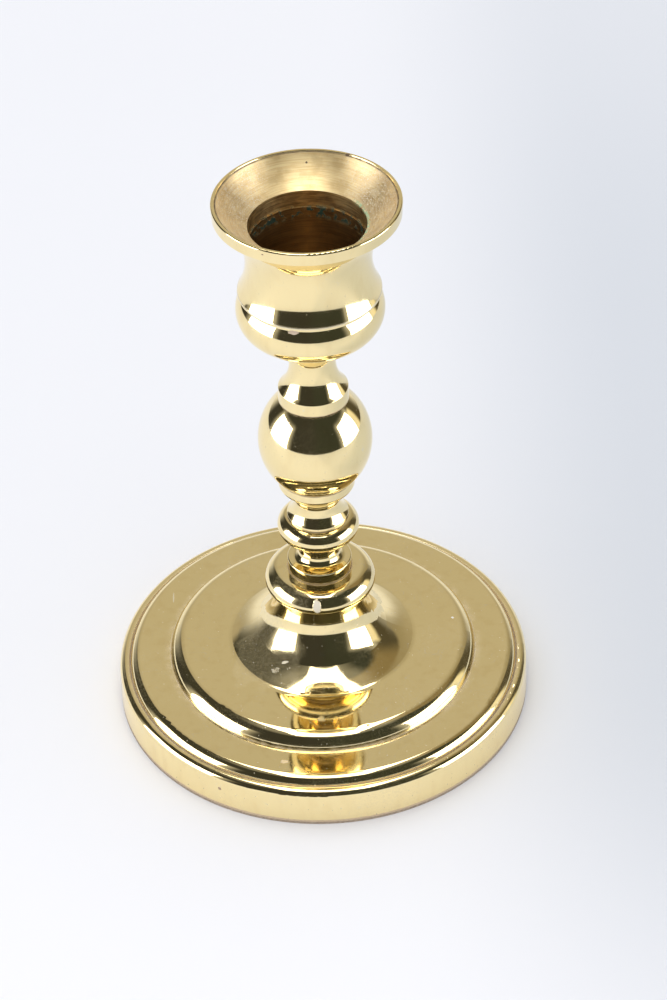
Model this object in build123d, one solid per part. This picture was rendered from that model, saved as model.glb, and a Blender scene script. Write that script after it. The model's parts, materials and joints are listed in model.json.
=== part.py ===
from build123d import *
import os
from math import cos, radians, sin

# Turned brass candlestick. Origin: centre of the underside of the felt pad. +Z runs up the
# axis. Millimetres. Every piece is turned, so each is one outline revolved about Z.

# Overall sizes
TOTAL_HEIGHT = 120.0
BASE_RADIUS = 42.5

# Tie rod that draws the stack together: M4, with its nut and washer inside the hollow base
ROD_RADIUS = 2.0
ROD_HOLE_RADIUS = 2.1
ROD_TOP = 88.0
ROD_BOTTOM = 16.9
TAPPED_HOLE_TOP = 89.5
NUT_ACROSS_FLATS = 7.0
NUT_HEIGHT = 3.2
WASHER_RADIUS = 4.5
WASHER_HOLE_RADIUS = 2.15
WASHER_THICKNESS = 0.8

# Heights of the faces where one piece sits on the next
FELT_THICKNESS = 0.5
BOARD_THICKNESS = 0.6
BASE_UNDERSIDE = FELT_THICKNESS + BOARD_THICKNESS
BASE_TOP = 26.79
LARGE_BEAD_TOP = 31.7
BEAD_STEM_TOP = 45.15
BALL_STEM_TOP = 74.7

# Candle socket
SOCKET_MOUTH_RADIUS = 11.2
SOCKET_RADIUS = 11.0
SOCKET_MOUTH = 114.8
SOCKET_LEDGE = 111.2
SOCKET_FLOOR = 97.0

# Candle cup, outside
RIM_RADIUS = 17.83
RIM_BAND_BOTTOM = 117.55
THROAT_ARC_RADIUS = 13.95
SHOULDER = (13.7, 100.55)
BULB_CENTRE = (8.65, 96.03)
BULB_RADIUS = 5.62
CUP_NECK_CENTRE = (12.62, 82.95)
CUP_NECK_RADIUS = 8.05
COLLAR_RADIUS = 6.84
COLLAR_TOP = 77.35

# Ball and the neck below it
BALL_CENTRE_HEIGHT = 64.62
BALL_RADIUS = 11.28
BALL_HALF_HEIGHT = 12.26
BALL_SHOULDER_ANGLE = 52.9
BALL_SWEEP = 100.6
NECK_ARC_RADIUS = 4.56
NECK_LIP = (6.2, 45.96)

# Small bead, thin neck and disc
BEAD_CENTRE = (5.83, 42.75)
BEAD_RADIUS = 2.4
THIN_NECK_RADIUS = 3.85
COVE_CENTRE = (5.6, 36.2)
COVE_RADIUS = 1.75
DISC_RADIUS = 6.5

# Large bead
LARGE_BEAD_UPPER = (8.01, 28.4)
LARGE_BEAD_UPPER_RADIUS = 3.3
LARGE_BEAD_LOWER_RADIUS = 2.0
LARGE_BEAD_BLEND = 17.5

# Base: trumpet, raised ring, flat field and double-beaded rim
TRUMPET_CENTRE = (19.55, 24.50)
TRUMPET_RADIUS = 10.8
TRUMPET_BLEND = 235
TRUMPET_FOOT_RADIUS = 17.0
TRUMPET_FOOT_END = 255
DISH_BLEND_RADIUS = 6.0
DISH_SLOPE = 2.65
RING_CENTRE = (28.34, 9.27)
RING_RADIUS = 3.3
FIELD_HEIGHT = 9.7
RIM_BEAD_CENTRE = (38.0, 7.6)
RIM_BEAD_RADIUS = 2.1
FOOT_BEAD_CENTRE = (40.9, 6.9)
FOOT_BEAD_RADIUS = 1.4
WALL = 2.3
CAVITY_TOP = 22.4
CAVITY_RADIUS = 6.2


def on_arc(centre, radius, degrees):
    """Point on a circle of the outline; 0 degrees points away from the axis, 90 up."""
    return (centre[0] + radius * cos(radians(degrees)), centre[1] + radius * sin(radians(degrees)))


def turned(start, *steps):
    """Revolve the closed outline that runs from start through steps.

    A step (r, z) is a straight cut. A step (r, z, radius) is an arc that turns clockwise,
    as a bead does on the way down its outside, or counter-clockwise with a minus sign.
    A step may also be a ready-made edge, which a straight cut leads to.
    """
    edges = []
    here = start
    for step in steps + (start,):
        if isinstance(step, Edge):
            edges += [Line(here, step @ 0), step]
            here = step @ 1
        elif len(step) == 3:
            edges.append(RadiusArc(here, step[:2], step[2]))
            here = step[:2]
        else:
            edges.append(Line(here, step))
            here = step
    return revolve(Plane.XZ * make_face(edges), Axis.Z)


def soften(solid, radius, *rims):
    """Round the circular edges nearest to the given (r, z) rims."""
    circles = solid.edges().filter_by(GeomType.CIRCLE)
    picked = [
        min(circles, key=lambda e: abs(e.radius - r) + abs(e.arc_center.Z - z))
        for r, z in rims
    ]
    return fillet(picked, radius)


def candle_cup():
    """Flared cup with the candle socket, its bulb, and the collar that sits on the ball."""
    bulb_to_neck = on_arc(BULB_CENTRE, BULB_RADIUS, -73.2)
    cup = turned(
        (0, SOCKET_FLOOR),
        (SOCKET_RADIUS, SOCKET_FLOOR),
        (SOCKET_RADIUS, SOCKET_LEDGE),
        (SOCKET_MOUTH_RADIUS, SOCKET_LEDGE),
        (SOCKET_MOUTH_RADIUS, SOCKET_MOUTH),
        (16.85, TOTAL_HEIGHT - 0.25, -18.0),
        (16.98, TOTAL_HEIGHT - 0.35),
        (17.12, TOTAL_HEIGHT),
        (RIM_RADIUS, TOTAL_HEIGHT),
        (RIM_RADIUS - 0.08, RIM_BAND_BOTTOM),
        (16.5, RIM_BAND_BOTTOM - 0.1),
        (*SHOULDER, -THROAT_ARC_RADIUS),
        (SHOULDER[0] + 0.05, SHOULDER[1] - 0.35),
        (13.05, 99.95),
        (13.1, 99.45),
        (*bulb_to_neck, BULB_RADIUS),
        (COLLAR_RADIUS, COLLAR_TOP, -CUP_NECK_RADIUS),
        (COLLAR_RADIUS + 0.11, BALL_STEM_TOP),
        (ROD_RADIUS, BALL_STEM_TOP),
        (ROD_RADIUS, TAPPED_HOLE_TOP),
        (0, TAPPED_HOLE_TOP + 1.2),
    )
    cup = soften(cup, 0.3, (RIM_RADIUS, TOTAL_HEIGHT))
    cup = soften(cup, 0.12, (COLLAR_RADIUS, COLLAR_TOP))
    return soften(cup, 0.8, (SOCKET_RADIUS, SOCKET_FLOOR))


def ball_stem():
    """Ball with its under-collar and neck; a low land on top carries the cup's collar."""
    ball = EllipticalCenterArc(
        (0, BALL_CENTRE_HEIGHT),
        BALL_RADIUS,
        BALL_HALF_HEIGHT,
        start_angle=BALL_SHOULDER_ANGLE,
        arc_size=-BALL_SWEEP,
    )
    stem = turned(
        (ROD_HOLE_RADIUS, BALL_STEM_TOP),
        (5.8, BALL_STEM_TOP),
        (5.8, (ball @ 0).Y),
        ball,
        (7.65, 53.95),
        (6.68, 52.93, 1.0),
        (*NECK_LIP, -NECK_ARC_RADIUS),
        (NECK_LIP[0], BEAD_STEM_TOP),
        (ROD_HOLE_RADIUS, BEAD_STEM_TOP),
    )
    return soften(stem, 0.15, NECK_LIP)


def bead_stem():
    """Small bead, thin neck and the disc that sits on the large bead."""
    stem = turned(
        (ROD_HOLE_RADIUS, BEAD_STEM_TOP),
        (BEAD_CENTRE[0], BEAD_STEM_TOP),
        (*on_arc(BEAD_CENTRE, BEAD_RADIUS, 0), BEAD_RADIUS),
        (*on_arc(BEAD_CENTRE, BEAD_RADIUS, -90), BEAD_RADIUS),
        (THIN_NECK_RADIUS, BEAD_CENTRE[1] - BEAD_RADIUS),
        (THIN_NECK_RADIUS, COVE_CENTRE[1]),
        (*on_arc(COVE_CENTRE, COVE_RADIUS, -90), -COVE_RADIUS),
        (DISC_RADIUS, COVE_CENTRE[1] - COVE_RADIUS - 0.1),
        (DISC_RADIUS - 0.1, LARGE_BEAD_TOP),
        (ROD_HOLE_RADIUS, LARGE_BEAD_TOP),
    )
    return soften(stem, 0.25, (DISC_RADIUS, COVE_CENTRE[1] - COVE_RADIUS))


def large_bead():
    """Large bead, fuller above its widest line than below."""
    blend = on_arc(LARGE_BEAD_UPPER, LARGE_BEAD_UPPER_RADIUS, LARGE_BEAD_BLEND)
    inset = LARGE_BEAD_UPPER_RADIUS - LARGE_BEAD_LOWER_RADIUS
    lower_centre = on_arc(LARGE_BEAD_UPPER, inset, LARGE_BEAD_BLEND)
    return turned(
        (ROD_HOLE_RADIUS, LARGE_BEAD_TOP),
        (LARGE_BEAD_UPPER[0], LARGE_BEAD_TOP),
        (*blend, LARGE_BEAD_UPPER_RADIUS),
        (lower_centre[0], BASE_TOP, LARGE_BEAD_LOWER_RADIUS),
        (ROD_HOLE_RADIUS, BASE_TOP),
    )


def base_dish():
    """Hollow base: trumpet, raised ring, flat field and beaded rim, with a web at the top."""
    foot_centre = on_arc(TRUMPET_CENTRE, TRUMPET_RADIUS - TRUMPET_FOOT_RADIUS, TRUMPET_BLEND)
    blend_shift = TRUMPET_FOOT_RADIUS - DISH_BLEND_RADIUS
    blend_centre = on_arc(foot_centre, blend_shift, TRUMPET_FOOT_END)
    inside = TRUMPET_RADIUS + WALL
    foot_inside = TRUMPET_FOOT_RADIUS + WALL
    return turned(
        (ROD_HOLE_RADIUS, BASE_TOP),
        (TRUMPET_CENTRE[0] - TRUMPET_RADIUS, BASE_TOP),
        (TRUMPET_CENTRE[0] - TRUMPET_RADIUS, TRUMPET_CENTRE[1]),
        (*on_arc(TRUMPET_CENTRE, TRUMPET_RADIUS, TRUMPET_BLEND), -TRUMPET_RADIUS),
        (*on_arc(foot_centre, TRUMPET_FOOT_RADIUS, TRUMPET_FOOT_END), -TRUMPET_FOOT_RADIUS),
        (*on_arc(blend_centre, DISH_BLEND_RADIUS, 270 - DISH_SLOPE), -DISH_BLEND_RADIUS),
        on_arc(RING_CENTRE, RING_RADIUS, 90 - DISH_SLOPE),
        (31.61, FIELD_HEIGHT, RING_RADIUS),
        (RIM_BEAD_CENTRE[0], FIELD_HEIGHT),
        (*on_arc(RIM_BEAD_CENTRE, RIM_BEAD_RADIUS, 5), RIM_BEAD_RADIUS),
        (40.2, 7.7),
        on_arc(FOOT_BEAD_CENTRE, FOOT_BEAD_RADIUS, 109),
        (*on_arc(FOOT_BEAD_CENTRE, FOOT_BEAD_RADIUS, 0), FOOT_BEAD_RADIUS),
        (BASE_RADIUS, BASE_UNDERSIDE),
        (BASE_RADIUS - WALL, BASE_UNDERSIDE),
        (BASE_RADIUS - WALL, 5.4),
        (BASE_RADIUS - WALL - 2.0, FIELD_HEIGHT - WALL, -2.0),
        (30.4, FIELD_HEIGHT - WALL),
        (27.6, 10.2, 2.8),
        on_arc(foot_centre, foot_inside, TRUMPET_FOOT_END),
        (*on_arc(TRUMPET_CENTRE, inside, TRUMPET_BLEND), foot_inside),
        (*on_arc(TRUMPET_CENTRE, inside, 197.5), inside),
        (CAVITY_RADIUS, CAVITY_TOP),
        (ROD_HOLE_RADIUS, CAVITY_TOP),
    )


def tie_rod():
    rod = Pos(0, 0, ROD_BOTTOM) * extrude(Circle(ROD_RADIUS), ROD_TOP - ROD_BOTTOM)
    return chamfer(rod.edges().filter_by(GeomType.CIRCLE), 0.4)


def washer():
    return turned(
        (WASHER_HOLE_RADIUS, CAVITY_TOP),
        (WASHER_RADIUS, CAVITY_TOP),
        (WASHER_RADIUS, CAVITY_TOP - WASHER_THICKNESS),
        (WASHER_HOLE_RADIUS, CAVITY_TOP - WASHER_THICKNESS),
    )


def nut():
    """Hexagon nut with its corners turned off at both ends."""
    bottom = CAVITY_TOP - WASHER_THICKNESS - NUT_HEIGHT
    corner = NUT_ACROSS_FLATS / 2 / cos(radians(30))
    flat = NUT_ACROSS_FLATS / 2
    body = Pos(0, 0, bottom) * extrude(RegularPolygon(corner, 6), NUT_HEIGHT)
    blank = turned(
        (0, bottom),
        (flat, bottom),
        (corner, bottom + 0.3),
        (corner, bottom + NUT_HEIGHT - 0.3),
        (flat, bottom + NUT_HEIGHT),
        (0, bottom + NUT_HEIGHT),
    )
    return body & blank - Cylinder(ROD_RADIUS, 2 * TOTAL_HEIGHT)


def disc(bottom, thickness, radius):
    return Pos(0, 0, bottom) * extrude(Circle(radius), thickness)


pieces = {
    "candle_cup": candle_cup(),
    "ball_stem": ball_stem(),
    "bead_stem": bead_stem(),
    "large_bead": large_bead(),
    "base_dish": base_dish(),
    "tie_rod": tie_rod(),
    "tie_rod_washer": washer(),
    "tie_rod_nut": nut(),
    "base_board": disc(FELT_THICKNESS, BOARD_THICKNESS, BASE_RADIUS - 0.1),
    "felt_pad": disc(0, FELT_THICKNESS, BASE_RADIUS - 0.05),
}

os.makedirs("parts", exist_ok=True)
for name, piece in pieces.items():
    export_step(piece, f"parts/{name}.step")
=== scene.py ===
import json
from math import cos, pi, radians, sin

import bpy
from mathutils import Matrix, Vector


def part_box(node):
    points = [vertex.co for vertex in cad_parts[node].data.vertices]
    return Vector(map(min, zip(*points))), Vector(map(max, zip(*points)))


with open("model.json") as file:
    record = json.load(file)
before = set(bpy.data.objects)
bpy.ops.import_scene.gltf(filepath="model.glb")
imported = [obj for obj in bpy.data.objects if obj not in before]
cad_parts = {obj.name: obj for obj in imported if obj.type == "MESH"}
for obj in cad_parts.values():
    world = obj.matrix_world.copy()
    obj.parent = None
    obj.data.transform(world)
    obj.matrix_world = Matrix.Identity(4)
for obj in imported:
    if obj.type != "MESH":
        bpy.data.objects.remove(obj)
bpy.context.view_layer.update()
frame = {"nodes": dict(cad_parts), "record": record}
scene = bpy.context.scene
scene.view_settings.view_transform = "Standard"

# Heights on the part in millimetres, from the frame
TOP = {name: 1000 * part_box(name)[1].z for name in frame["nodes"]}
MOUNTS = {mount["name"]: mount for mount in frame["record"]["mounts"]}
CUP_TOP = TOP["candle_cup"]
MOUTH = CUP_TOP - 5.2
LEDGE = 1000 * MOUNTS["candle_socket"]["pos_m"][2]
UNDER_SOCKET_FLOOR = CUP_TOP - 23.5
FIELD = TOP["base_dish"] - 17.09

# Outward slope of a cone just outside the flare's inner face: millimetres out for each one up
FLARE_SLOPE = 1.16

# Colours
POLISHED = (0.96, 0.80, 0.44)
TARNISHED = (0.80, 0.60, 0.27)
DIRT = (0.42, 0.29, 0.19)
PALE_DIRT = (0.50, 0.43, 0.34)
DARK_DIRT = (0.16, 0.10, 0.05)
DUST = (0.80, 0.77, 0.70)
WAX = (0.84, 0.77, 0.62)
VERDIGRIS = (0.014, 0.055, 0.036)
SOFTBOX_WHITE = (1.0, 0.98, 0.93)

# Camera and studio, in metres and radians
CAMERA_PLACE = (0.0, -0.45213, 0.41811)
CAMERA_PAN = 0.0071
CAMERA_TILT = 0.6854
CAMERA_ROLL = 0.0324
CAMERA_LENS = 105.25
FLOOR_RADIUS = 3.0
ROOM_RADIUS = 1.0
ROOM_HEIGHT = 1.6
SOFTBOX_DISTANCE = 0.75
SOFTBOX_HEIGHT = 0.277


class Graph:
    """The node tree of one material, with lengths in millimetres on the row's own axes."""

    def __init__(self, name):
        self.material = bpy.data.materials.new(name)
        self.material.use_nodes = True
        self.tree = self.material.node_tree
        self.tree.nodes.clear()
        place = self.tree.nodes.new("ShaderNodeTexCoord").outputs["Object"]
        self.place = self.vector("SCALE", place, scale=1000.0)
        split = self.tree.nodes.new("ShaderNodeSeparateXYZ")
        self.tree.links.new(self.place, split.inputs[0])
        self.x, self.y, self.z = split.outputs
        self.r = self.length(self.x, self.y)
        self.turn = self.math("ARCTAN2", self.y, self.x)

    def feed(self, socket, value):
        if isinstance(value, bpy.types.NodeSocket):
            self.tree.links.new(value, socket)
        elif isinstance(value, tuple) and len(value) == 3 and socket.type == "RGBA":
            socket.default_value = (*value, 1.0)
        else:
            socket.default_value = value

    def math(self, operation, a, b=0.0, c=0.0):
        node = self.tree.nodes.new("ShaderNodeMath")
        node.operation = operation
        for socket, value in zip(node.inputs, (a, b, c)):
            self.feed(socket, value)
        return node.outputs[0]

    def power(self, a, exponent):
        return self.math("POWER", a, exponent)

    def length(self, a, b):
        return self.math("SQRT", self.math("ADD", self.power(a, 2), self.power(b, 2)))

    def vector(self, operation, a, b=(0.0, 0.0, 0.0), scale=1.0):
        node = self.tree.nodes.new("ShaderNodeVectorMath")
        node.operation = operation
        self.feed(node.inputs[0], a)
        if operation == "SCALE":
            self.feed(node.inputs["Scale"], scale)
        else:
            self.feed(node.inputs[1], b)
        return node.outputs["Value"] if operation == "LENGTH" else node.outputs[0]

    def combine(self, x, y, z):
        node = self.tree.nodes.new("ShaderNodeCombineXYZ")
        for socket, value in zip(node.inputs, (x, y, z)):
            self.feed(socket, value)
        return node.outputs[0]

    def ramp(self, value, low, high, out_low=0.0, out_high=1.0):
        """Smooth step of value from out_low at low to out_high at high; low may exceed high."""
        node = self.tree.nodes.new("ShaderNodeMapRange")
        node.interpolation_type = "SMOOTHSTEP"
        if low > high:
            low, high, out_low, out_high = high, low, out_high, out_low
        for socket, number in zip(node.inputs, (value, low, high, out_low, out_high)):
            self.feed(socket, number)
        return node.outputs[0]

    def band(self, value, low, high, soft):
        rise = self.ramp(value, low - soft, low + soft)
        return self.every(rise, self.ramp(value, high + soft, high - soft))

    def every(self, *masks):
        product = masks[0]
        for mask in masks[1:]:
            product = self.math("MULTIPLY", product, mask)
        return product

    def noise(self, size, detail=2.0, stretch=(1.0, 1.0, 1.0), seed=0.0, place=None):
        """Noise from 0 to 1 whose features are about size millimetres across."""
        node = self.tree.nodes.new("ShaderNodeTexNoise")
        moved = self.vector("MULTIPLY", place or self.place, stretch)
        self.feed(node.inputs["Vector"], self.vector("ADD", moved, (seed, 2.3 * seed, -seed)))
        self.feed(node.inputs["Scale"], 1.0 / size)
        self.feed(node.inputs["Detail"], detail)
        return node.outputs[0]

    def specks(self, spacing, radius, share, seed=0.0):
        """Round specks: a share of the cells of a grid spacing millimetres wide holds one."""
        node = self.tree.nodes.new("ShaderNodeTexVoronoi")
        self.feed(node.inputs["Vector"], self.vector("ADD", self.place, (seed, -seed, seed)))
        self.feed(node.inputs["Scale"], 1.0 / spacing)
        split = self.tree.nodes.new("ShaderNodeSeparateColor")
        self.tree.links.new(node.outputs["Color"], split.inputs[0])
        chosen = self.math("LESS_THAN", split.outputs[0], share)
        reach = self.math("MULTIPLY", split.outputs[1], radius / spacing)
        near = self.math("LESS_THAN", node.outputs["Distance"], reach)
        return self.every(chosen, near)

    def spot(self, centre, size, ragged=0.3, seed=0.0):
        """A ragged-edged spot of the given half-sizes round a point."""
        offset = self.vector("SUBTRACT", self.place, centre)
        scaled = self.vector("DIVIDE", offset, size)
        wander = self.math("SUBTRACT", self.noise(min(size), 2, seed=seed), 0.5)
        reach = self.math("ADD", self.vector("LENGTH", scaled), self.math("MULTIPLY", wander, 2 * ragged))
        return self.ramp(reach, 1.1, 0.9)

    def near_ring(self, radius, height, reach):
        """Mask that fades from 1 on a circle round the axis to 0 at reach from it."""
        gap = self.length(self.math("SUBTRACT", self.r, radius), self.math("SUBTRACT", self.z, height))
        return self.ramp(gap, reach, 0.0)

    def mix(self, mask, a, b):
        if isinstance(a, (int, float)) and isinstance(b, (int, float)):
            return self.math("MULTIPLY_ADD", mask, b - a, a)
        in_colour = any(isinstance(value, tuple) or getattr(value, "type", "") == "RGBA" for value in (a, b))
        node = self.tree.nodes.new("ShaderNodeMix")
        node.data_type = "RGBA" if in_colour else "FLOAT"
        first = 6 if in_colour else 2
        self.feed(node.inputs[0], mask)
        self.feed(node.inputs[first], a)
        self.feed(node.inputs[first + 1], b)
        return node.outputs[2 if in_colour else 0]

    def close(self, shader):
        output = self.tree.nodes.new("ShaderNodeOutputMaterial")
        self.tree.links.new(shader.outputs[0], output.inputs[0])
        return self.material


class Finish:
    """A surface laid up in coats, each with its colour, roughness and share of bare metal."""

    def __init__(self, graph, colour, rough, metal):
        self.graph = graph
        self.colour = colour
        self.rough = rough
        self.metal = metal
        self.height = 0.0

    def coat(self, mask, colour, rough, metal=None, share=1.0):
        """Cover the mask with a coat; share under 1 lets what is below show through."""
        if share != 1.0:
            mask = self.graph.math("MULTIPLY", mask, share)
        self.colour = self.graph.mix(mask, self.colour, colour)
        self.rough = self.graph.mix(mask, self.rough, rough)
        if metal is not None:
            self.metal = self.graph.mix(mask, self.metal, metal)

    def emboss(self, mask, height):
        """Raise the mask by a height in millimetres."""
        self.height = self.graph.math("MULTIPLY_ADD", mask, height, self.height)

    def close(self, **uniform):
        """Finish the material; uniform values go straight onto the shader's own sockets."""
        graph = self.graph
        shader = graph.tree.nodes.new("ShaderNodeBsdfPrincipled")
        graph.feed(shader.inputs["Base Color"], self.colour)
        graph.feed(shader.inputs["Roughness"], self.rough)
        graph.feed(shader.inputs["Metallic"], self.metal)
        for name, value in uniform.items():
            graph.feed(shader.inputs[name], value)
        if isinstance(self.height, bpy.types.NodeSocket):
            bump = graph.tree.nodes.new("ShaderNodeBump")
            bump.inputs["Strength"].default_value = 1.0
            bump.inputs["Distance"].default_value = 0.001
            graph.feed(bump.inputs["Height"], self.height)
            graph.tree.links.new(bump.outputs[0], shader.inputs["Normal"])
        return graph.close(shader)


def hairlines(graph, size, stretch, seed):
    """Long thin scratches, where a stretched noise crosses its middle value."""
    wander = graph.noise(size, 1.0, stretch=stretch, seed=seed)
    line = graph.ramp(graph.math("ABSOLUTE", graph.math("SUBTRACT", wander, 0.5)), 0.004, 0.001)
    gaps = graph.ramp(graph.noise(5.0, 1.0, seed=seed + 3.0), 0.52, 0.6)
    return graph.every(line, gaps)


def polished_brass(graph, dusty):
    """Mirror-polished, lacquered brass with wipe haze, faint turning lines, dust and specks."""
    haze = graph.noise(9.0, 4.0)
    wipe = graph.noise(2.2, 3.0, stretch=(1.0, 1.0, 0.35), seed=7.0)
    cloud = graph.ramp(graph.noise(14.0, 3.0, seed=3.0), 0.45, 0.70)
    rough = graph.math("MULTIPLY_ADD", graph.ramp(haze, 0.35, 0.75), 0.035, 0.045)
    finish = Finish(graph, graph.mix(graph.ramp(wipe, 0.45, 0.8, 0.0, 0.25), POLISHED, TARNISHED), rough, 1.0)
    turning = graph.combine(graph.r, graph.z, graph.math("MULTIPLY", graph.turn, 0.3))
    finish.emboss(graph.math("SUBTRACT", graph.noise(0.35, 1.0, place=turning), 0.5), 0.0004)
    finish.emboss(graph.noise(3.0, 2.0, seed=11.0), 0.0015)
    finish.coat(hairlines(graph, 2.5, (0.25, 1.0, 1.0), 21.0), DUST, 0.35, share=0.35)
    finish.coat(hairlines(graph, 2.0, (1.0, 0.3, 0.8), 33.0), DUST, 0.35, share=0.35)
    film = graph.every(cloud, graph.ramp(graph.noise(0.4, 3.0, seed=5.0), 0.40, 0.70))
    finish.coat(film, DUST, 0.4, 0.0, share=0.15 * dusty)
    finish.coat(graph.specks(0.8, 0.13, 0.45, seed=1.0), DUST, 0.6, 0.0, share=0.7 * dusty)
    finish.coat(graph.specks(5.0, 0.30, 0.14, seed=14.0), WAX, 0.6, 0.0, share=0.8 * dusty)
    finish.coat(graph.specks(4.0, 0.20, 0.25, seed=9.0), DARK_DIRT, 0.5, 0.2, share=0.6)
    return finish


def dirty_crease(graph, finish, radius, height, reach, dirt=DIRT, core_share=0.7):
    """Dirt left in the crease at a radius and height, patchy along it and darker in the bottom."""
    patchy = graph.ramp(graph.noise(1.3, 3.0, seed=radius), 0.35, 0.65, 0.25, 1.0)
    mask = graph.every(graph.near_ring(radius, height, reach), patchy)
    finish.coat(mask, dirt, 0.6, 0.15, share=0.75)
    finish.coat(graph.near_ring(radius, height, 0.4 * reach), DARK_DIRT, 0.6, 0.2, share=core_share)


def cup_outside(graph, finish):
    """Dirt in the groove, under the rim and on the collar's seam; a worn edge and two marks."""
    dirty_crease(graph, finish, 13.12, CUP_TOP - 20.05, 0.30)
    dirty_crease(graph, finish, 16.6, CUP_TOP - 2.55, 0.22)
    dirty_crease(graph, finish, 6.95, TOP["ball_stem"] + 0.05, 0.3)
    finish.coat(graph.near_ring(13.6, CUP_TOP - 19.5, 0.35), (0.86, 0.76, 0.55), 0.3, 0.6)
    chip = graph.spot((-3.29, -12.78, CUP_TOP - 20.7), (1.0, 0.8, 0.35), 0.5, 2.0)
    finish.coat(chip, (0.78, 0.62, 0.48), 0.6, 0.0)
    nick = graph.spot((-8.3, -15.75, CUP_TOP - 1.0), (0.25, 0.25, 0.15), 0.4, 5.0)
    finish.coat(nick, DIRT, 0.6, 0.2)


def flare(graph, finish):
    """Inside the flare: satin with turning marks and brown stain, dustier at the two sides, where the pale
    dust is partly painted highlight.
    """
    cone = graph.math("MULTIPLY_ADD", graph.z, FLARE_SLOPE, 12.6 - MOUTH * FLARE_SLOPE)
    inside = graph.every(
        graph.math("LESS_THAN", graph.r, cone),
        graph.math("LESS_THAN", graph.r, 16.9),
        graph.math("GREATER_THAN", graph.z, UNDER_SOCKET_FLOOR),
    )
    turning = graph.combine(
        graph.r, graph.math("MULTIPLY", graph.z, 0.2), graph.math("MULTIPLY", graph.turn, 0.5)
    )
    marks = graph.noise(0.16, 2.0, place=turning)
    rings = graph.noise(0.9, 3.0, place=turning, seed=3.0)
    # The two sides: more dust there, and paler, partly as painted highlight.
    sides = graph.ramp(graph.math("ABSOLUTE", graph.x), 5.0, 12.0)
    grain = graph.noise(0.28, 2.0, seed=4.0)
    stain = graph.ramp(graph.noise(3.0, 4.0, seed=12.0), 0.40, 0.68)
    satin = graph.mix(graph.ramp(marks, 0.3, 0.7), (0.84, 0.62, 0.30), (1.0, 0.82, 0.46))
    satin = graph.mix(graph.math("MULTIPLY", stain, 0.5), satin, (0.60, 0.41, 0.17))
    satin = graph.mix(graph.ramp(rings, 0.45, 0.75, 0.0, 0.35), satin, (0.70, 0.49, 0.22))
    finish.coat(inside, satin, 0.42, 0.92)
    finish.emboss(graph.every(inside, graph.math("SUBTRACT", marks, 0.5)), 0.008)
    finish.emboss(graph.every(inside, sides, grain), 0.008)
    # Pale dust film and specks, thicker at the two sides; the extra paleness there is partly painted
    # highlight.
    film = graph.every(inside, graph.ramp(grain, 0.35, 0.65), graph.math("MULTIPLY_ADD", sides, 0.42, 0.04))
    finish.coat(film, (0.80, 0.70, 0.56), 0.6, 0.1)
    dust_and_highlight_density = graph.math("MULTIPLY_ADD", sides, 0.60, 0.08)
    motes = graph.every(inside, graph.specks(0.30, 0.13, 0.80, seed=31.0), dust_and_highlight_density)
    finish.coat(motes, (0.94, 0.88, 0.76), 0.6, 0.0)
    fleck = graph.spot((0.29, 15.59, CUP_TOP - 1.83), (0.22, 0.22, 0.22), 0.3, 1.0)
    finish.coat(fleck, DARK_DIRT, 0.7, 0.0)
    patchy = graph.ramp(graph.noise(1.5, 3.0, seed=15.0), 0.3, 0.6, 0.6, 1.0)
    finish.coat(graph.every(graph.near_ring(16.96, CUP_TOP - 0.28, 0.32), patchy), DARK_DIRT, 0.6, 0.1)
    nick = graph.spot((8.06, 15.05, CUP_TOP - 0.04), (0.5, 0.35, 0.4), 0.3, 6.0)
    finish.coat(nick, DARK_DIRT, 0.6, 0.1)


def socket(graph, finish):
    """Socket wall and floor: brown patina, darker below the ledge, with verdigris along it."""
    wall = graph.every(
        graph.math("LESS_THAN", graph.r, 11.35),
        graph.math("LESS_THAN", graph.z, MOUTH - 0.05),
        graph.math("GREATER_THAN", graph.z, UNDER_SOCKET_FLOOR),
    )
    below = graph.ramp(graph.z, LEDGE + 0.2, LEDGE - 0.2)
    bore = graph.combine(graph.r, graph.z, graph.math("MULTIPLY", graph.turn, 0.5))
    tool = graph.noise(0.28, 2.0, place=bore, seed=2.0)
    smear = graph.noise(2.4, 4.0, stretch=(1.0, 1.0, 2.0), seed=18.0)
    brown = graph.mix(below, (0.90, 0.66, 0.31), (0.42, 0.27, 0.11))
    brown = graph.mix(graph.ramp(smear, 0.40, 0.70, 0.0, 0.6), brown, (0.30, 0.18, 0.08))
    brown = graph.mix(graph.ramp(tool, 0.35, 0.7, 0.0, 0.6), brown, (0.24, 0.14, 0.06))
    finish.coat(wall, brown, 0.34, 0.93)
    finish.emboss(graph.every(wall, tool), 0.012)

    # Dark green patches on the ledge, and a pale green crust on the mouth's right edge
    along_ledge = graph.band(graph.z, LEDGE - 2.3, LEDGE + 0.2, 0.7)
    patches = graph.every(wall, along_ledge, graph.ramp(graph.noise(1.4, 8.0, seed=6.0), 0.50, 0.57))
    finish.coat(patches, VERDIGRIS, 0.8, 0.0)
    finish.emboss(patches, 0.06)
    flecks = graph.specks(1.6, 0.14, 0.3, seed=23.0)
    finish.coat(graph.every(wall, flecks), (0.60, 0.62, 0.52), 0.8, 0.0)
    edge = graph.ramp(graph.near_ring(11.25, MOUTH + 0.05, 0.75), 0.1, 0.6)
    right = graph.ramp(graph.x, 8.2, 10.2)
    crust = graph.ramp(graph.noise(0.6, 5.0, seed=8.0), 0.40, 0.52)
    finish.coat(graph.every(edge, right, crust), (0.36, 0.47, 0.27), 0.9, 0.0)


def cup_brass():
    graph = Graph("cup_brass")
    finish = polished_brass(graph, 0.3)
    cup_outside(graph, finish)
    flare(graph, finish)
    socket(graph, finish)
    return finish.close(**{"Anisotropic": 0.75, "Anisotropic Rotation": 0.25})


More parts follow.
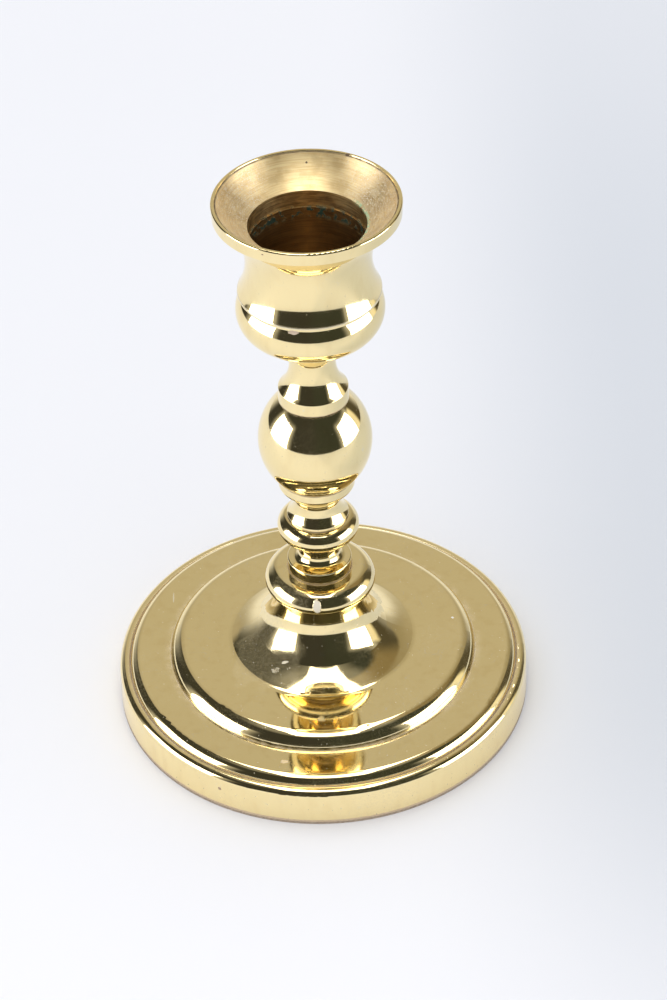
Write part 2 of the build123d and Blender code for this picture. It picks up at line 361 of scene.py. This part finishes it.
def stem_brass():
    """Dirt at every seam and neck of the stem, a dust film and a wax drip on the large bead."""
    graph = Graph("stem_brass")
    finish = polished_brass(graph, 0.4)
    dirty_crease(graph, finish, 7.6, TOP["bead_stem"] + 10.35, 0.30)
    dirty_crease(graph, finish, 6.2, TOP["bead_stem"] + 0.15, 0.28)
    dirty_crease(graph, finish, 4.0, TOP["bead_stem"] - 4.85, 0.4)
    dirty_crease(graph, finish, 6.45, TOP["large_bead"] + 0.05, 0.5)
    dirty_crease(graph, finish, 6.8, TOP["ball_stem"] - 0.2, 0.25)
    speckled = graph.ramp(graph.noise(0.4, 3.0, seed=28.0), 0.42, 0.66, 0.15, 1.0)
    film = graph.every(graph.spot((-6.5, -7.5, TOP["large_bead"] - 2.1), (5.0, 5.0, 3.0), 0.5, 3.0), speckled)
    finish.coat(film, DUST, 0.5, 0.0, share=0.12)
    wax = graph.spot((-0.92, -10.9, TOP["large_bead"] - 2.0), (0.85, 2.0, 1.4), 0.35, 4.0)
    finish.coat(wax, WAX, 0.45, 0.0)
    finish.emboss(wax, 0.12)
    return finish.close()


def base_brass():
    """Pale dirt outside the raised ring and in the rim's groove, dust on the trumpet, and marks."""
    graph = Graph("base_brass")
    finish = polished_brass(graph, 0.5)
    patchy = graph.ramp(graph.noise(1.8, 4.0, seed=41.0), 0.3, 0.7)
    finish.coat(graph.every(graph.near_ring(31.9, FIELD + 0.05, 1.5), patchy), (0.72, 0.60, 0.46), 0.45, 0.3,
                share=0.4)
    finish.coat(graph.near_ring(40.2, FIELD - 1.98, 1.0), (0.74, 0.63, 0.46), 0.4, 0.4)
    dirty_crease(graph, finish, 8.75, TOP["base_dish"] - 0.04, 0.4)
    dirty_crease(graph, finish, 31.63, FIELD + 0.02, 0.35, PALE_DIRT, 0.35)
    dirty_crease(graph, finish, 40.2, FIELD - 1.98, 0.45, PALE_DIRT, 0.35)

    # Dust film on the trumpet's left side, with a wiped streak and a smudge
    left_side = graph.spot((-11.5, -9.0, FIELD + 6.3), (7.5, 9.0, 6.0), 0.5, 2.0)
    speckled = graph.ramp(graph.noise(0.45, 3.0, seed=26.0), 0.30, 0.80, 0.35, 1.0)
    finish.coat(graph.every(left_side, speckled), (0.74, 0.68, 0.56), 0.5, 0.0, share=0.16)
    motes = graph.every(left_side, graph.specks(0.9, 0.15, 0.4, seed=27.0))
    finish.coat(motes, DUST, 0.6, 0.0, share=0.35)
    streak = graph.spot((-7.3, -11.2, FIELD + 5.5), (1.3, 0.35, 0.45), 0.4, 7.0)
    finish.coat(streak, DUST, 0.6, 0.1, share=0.6)
    smudge = graph.spot((-9.8, -12.3, FIELD + 4.4), (0.9, 0.7, 0.6), 0.6, 8.0)
    finish.coat(graph.every(smudge, speckled), DUST, 0.6, 0.4, share=0.6)

    # Single marks on the field, the rim and the raised ring
    chip = graph.spot((-8.5, -34.25, FIELD), (0.8, 0.5, 0.4), 0.6, 9.0)
    finish.coat(chip, (0.84, 0.68, 0.56), 0.6, 0.0, share=0.45)
    scratch = graph.spot((-31.3, 16.6, FIELD), (0.15, 1.6, 0.3), 0.2, 3.0)
    finish.coat(scratch, DUST, 0.4, 0.4, share=0.5)
    finish.coat(graph.spot((-21.6, -36.4, FIELD - 4.7), (0.35, 0.6, 0.35), 0.3, 1.0), DIRT, 0.5, 0.2)
    finish.coat(graph.spot((27.25, 3.67, FIELD + 3.0), (0.3, 0.3, 0.3), 0.3, 1.0), DUST, 0.5, 0.1)
    return finish.close()


def plain_steel():
    graph = Graph("zinc_plated_steel")
    zinc = graph.mix(graph.noise(1.5, 3.0), (0.50, 0.51, 0.52), (0.66, 0.67, 0.68))
    finish = Finish(graph, zinc, 0.35, 1.0)
    finish.emboss(graph.noise(0.2, 2.0), 0.01)
    return finish.close()


def fibre_board():
    graph = Graph("fibre_board")
    fibres = graph.noise(0.5, 4.0, stretch=(1.0, 1.0, 3.0))
    finish = Finish(graph, graph.mix(fibres, (0.50, 0.36, 0.22), (0.84, 0.68, 0.48)), 0.85, 0.0)
    finish.emboss(fibres, 0.08)
    return finish.close()


def brown_felt():
    graph = Graph("brown_felt")
    fluff = graph.noise(0.3, 4.0)
    worn = graph.ramp(graph.noise(6.0, 3.0, seed=2.0), 0.4, 0.8, 0.0, 0.5)
    brown = graph.mix(graph.ramp(fluff, 0.3, 0.7), (0.24, 0.17, 0.11), (0.48, 0.38, 0.27))
    finish = Finish(graph, graph.mix(worn, brown, (0.40, 0.31, 0.22)), 0.95, 0.0)
    finish.emboss(fluff, 0.15)
    return finish.close(**{"Sheen Weight": 0.3, "Sheen Roughness": 0.6})


def dress(material, *nodes):
    for name in nodes:
        for slot in frame["nodes"][name].material_slots:
            slot.material = material


def mesh_object(name, points, faces):
    mesh = bpy.data.meshes.new(name)
    mesh.from_pydata(points, [], faces)
    obj = bpy.data.objects.new(name, mesh)
    scene.collection.objects.link(obj)
    return obj


def floor(edges=96):
    """Round pale floor, paler in front as painted light and darkened off to the right as painted shade."""
    turns = [2 * pi * k / edges for k in range(edges)]
    points = [(FLOOR_RADIUS * cos(turn), FLOOR_RADIUS * sin(turn), 0.0) for turn in turns]
    obj = mesh_object("studio_floor", points, [tuple(range(edges))])
    graph = Graph("studio_floor")
    shade = graph.mix(graph.noise(220.0, 2.0), (0.825, 0.83, 0.858), (0.855, 0.86, 0.888))
    # Painted light: the floor colour turns paler in front of the object.
    shade = graph.mix(graph.ramp(graph.y, 30.0, -90.0), shade, (0.90, 0.90, 0.925))
    # Painted shade: the floor colour darkens to the right of the object, most beside it, as if the light fell
    # off there.
    painted_shade_right = graph.every(
        graph.ramp(graph.x, 8.0, 80.0),
        graph.ramp(graph.y, -130.0, 0.0, 0.35, 1.0),
        graph.ramp(graph.y, 120.0, 300.0, 1.0, 0.6),
    )
    finish = Finish(graph, graph.mix(painted_shade_right, shade, (0.66, 0.685, 0.725)), 0.9, 0.0)
    obj.data.materials.append(finish.close(**{"Specular IOR Level": 0.1}))


def dome(name, rows=24, columns=96):
    """Open dome over the floor, made of rings of square faces."""
    points = []
    for i in range(rows + 1):
        lift = radians(90) * i / rows
        for k in range(columns):
            turn = 2 * pi * k / columns
            ring = ROOM_RADIUS * cos(lift)
            points.append((ring * cos(turn), ring * sin(turn), ROOM_HEIGHT * sin(lift)))
    faces = []
    for i in range(rows):
        for k in range(columns):
            near, far = i * columns + k, i * columns + (k + 1) % columns
            faces.append((near, far, far + columns, near + columns))
    return mesh_object(name, points, faces)


def room_glow(graph):
    """The light of the room by direction: dark in front, lit paper behind, dim sides.

    Directions are in degrees. lift is the height above the floor, back the turn to the
    right from straight behind the object, and aside the same turn either way.
    """
    lift = graph.math("DEGREES", graph.math("ARCTAN2", graph.z, graph.r))
    back = graph.math("DEGREES", graph.math("ARCTAN2", graph.x, graph.y))
    aside = graph.math("ABSOLUTE", back)
    on_right = graph.ramp(graph.x, 0.0, 100.0)
    glow = graph.mix(graph.ramp(graph.x, -200.0, 200.0), (0.045, 0.045, 0.04), (0.045, 0.05, 0.04))

    # Dim walls beside the paper, gold and dim on the right, with a pale card low down
    left = graph.every(graph.ramp(aside, 90, 70), graph.ramp(graph.x, 0.0, -100.0))
    glow = graph.mix(graph.every(left, graph.ramp(lift, 15, 40)), glow, (0.05, 0.05, 0.04))
    right = graph.every(graph.ramp(aside, 85, 70), on_right)
    gold = graph.mix(graph.ramp(lift, 34, 50), (0.09, 0.08, 0.055), (0.26, 0.21, 0.12))
    glow = graph.mix(right, glow, gold)
    card = graph.every(graph.band(aside, 68, 80, 4), on_right, graph.ramp(lift, 32, 27))
    glow = graph.mix(card, glow, (1.0, 0.93, 0.70))

    # Paper behind: bright where it meets the floor, duller above
    paper_low = graph.every(graph.ramp(aside, 55, 28), graph.ramp(lift, 38, 2))
    glow = graph.mix(paper_low, glow, (0.92, 0.92, 0.94))
    paper_high = graph.every(graph.ramp(back, -34, -29), graph.ramp(back, 47, 42), graph.ramp(lift, 5, 30))
    paper = graph.mix(graph.ramp(back, 12, 44), (0.54, 0.50, 0.41), (0.34, 0.30, 0.21))
    paper = graph.mix(graph.ramp(back, -12, -32), paper, (0.44, 0.40, 0.32))
    glow = graph.mix(paper_high, glow, paper)

    # Spill round the side softboxes and round the overhead panel
    beyond = graph.math("MAXIMUM", graph.math("SUBTRACT", aside, 123), 0.0)
    beside = graph.math("MAXIMUM", graph.math("SUBTRACT", 79, aside), beyond)
    above = graph.math("MAXIMUM", graph.math("SUBTRACT", lift, 33), 0.0)
    spill = graph.power(graph.ramp(graph.length(beside, above), 14, 0), 2)
    glow = graph.mix(graph.math("MULTIPLY", spill, 0.5), glow, SOFTBOX_WHITE)
    return graph.mix(graph.ramp(lift, 60, 72, 0.0, 0.25), glow, SOFTBOX_WHITE)


def room():
    """Glowing dome that only reflections see."""
    obj = dome("studio_room")
    graph = Graph("studio_room")
    light = graph.tree.nodes.new("ShaderNodeEmission")
    graph.feed(light.inputs["Color"], room_glow(graph))
    obj.data.materials.append(graph.close(light))
    obj.visible_camera = False
    obj.visible_diffuse = False
    obj.visible_shadow = False
    obj.visible_transmission = False


def panel(name, place, target, width, height, radiance, in_metal=True):
    """Rectangular soft light: seen in polished metal, or else lighting only the matt surfaces."""
    light = bpy.data.lights.new(name, "AREA")
    light.shape = "RECTANGLE"
    light.size = width
    light.size_y = height
    light.energy = radiance * pi * width * height
    obj = bpy.data.objects.new(name, light)
    obj.location = place
    obj.rotation_euler = (Vector(target) - Vector(place)).to_track_quat("-Z", "Y").to_euler()
    obj.visible_camera = False
    obj.visible_glossy = in_metal
    obj.visible_diffuse = not in_metal
    scene.collection.objects.link(obj)


def softbox(name, turn, width, radiance):
    """Side light facing the object, at a turn in degrees to the right of the camera."""
    side, front = SOFTBOX_DISTANCE * sin(radians(turn)), -SOFTBOX_DISTANCE * cos(radians(turn))
    panel(name, (side, front, SOFTBOX_HEIGHT), (0, 0, SOFTBOX_HEIGHT), width, 0.55, radiance)


def lights():
    softbox("softbox_left", -79, 0.60, 5.0)
    softbox("softbox_right", 78, 0.58, 4.6)
    panel("softbox_top", (0, 0.11, 0.98), (0, 0.11, 0), 0.45, 0.83, 3.5)
    panel("fill_top", (-0.25, 0.0, 1.2), (0, 0, 0), 1.6, 1.6, 1.0, in_metal=False)
    world = bpy.data.worlds.new("studio")
    world.use_nodes = True
    sky = world.node_tree.nodes["Background"]
    sky.inputs["Color"].default_value = (0.93, 0.94, 0.97, 1.0)
    sky.inputs["Strength"].default_value = 0.80
    scene.world = world


def camera():
    """Camera straight in front of the object, looking about 39 degrees down."""
    pan, tilt, roll = CAMERA_PAN, CAMERA_TILT, CAMERA_ROLL
    forward = Vector((sin(pan) * cos(tilt), cos(pan) * cos(tilt), -sin(tilt)))
    right = Vector((cos(pan), -sin(pan), 0.0))
    down = forward.cross(right)
    across = cos(roll) * right + sin(roll) * down
    drop = cos(roll) * down - sin(roll) * right
    data = bpy.data.cameras.new("camera")
    data.lens = CAMERA_LENS
    data.sensor_width = 36.0
    data.clip_start = 0.01
    obj = bpy.data.objects.new("camera", data)
    turned = Matrix((across, -drop, -forward)).transposed().to_4x4()
    obj.matrix_world = Matrix.Translation(CAMERA_PLACE) @ turned
    scene.collection.objects.link(obj)
    scene.camera = obj


dress(cup_brass(), "candle_cup")
dress(stem_brass(), "ball_stem", "bead_stem", "large_bead")
dress(base_brass(), "base_dish")
dress(plain_steel(), "tie_rod", "tie_rod_washer", "tie_rod_nut")
dress(fibre_board(), "base_board")
dress(brown_felt(), "felt_pad")

floor()
room()
lights()
camera()
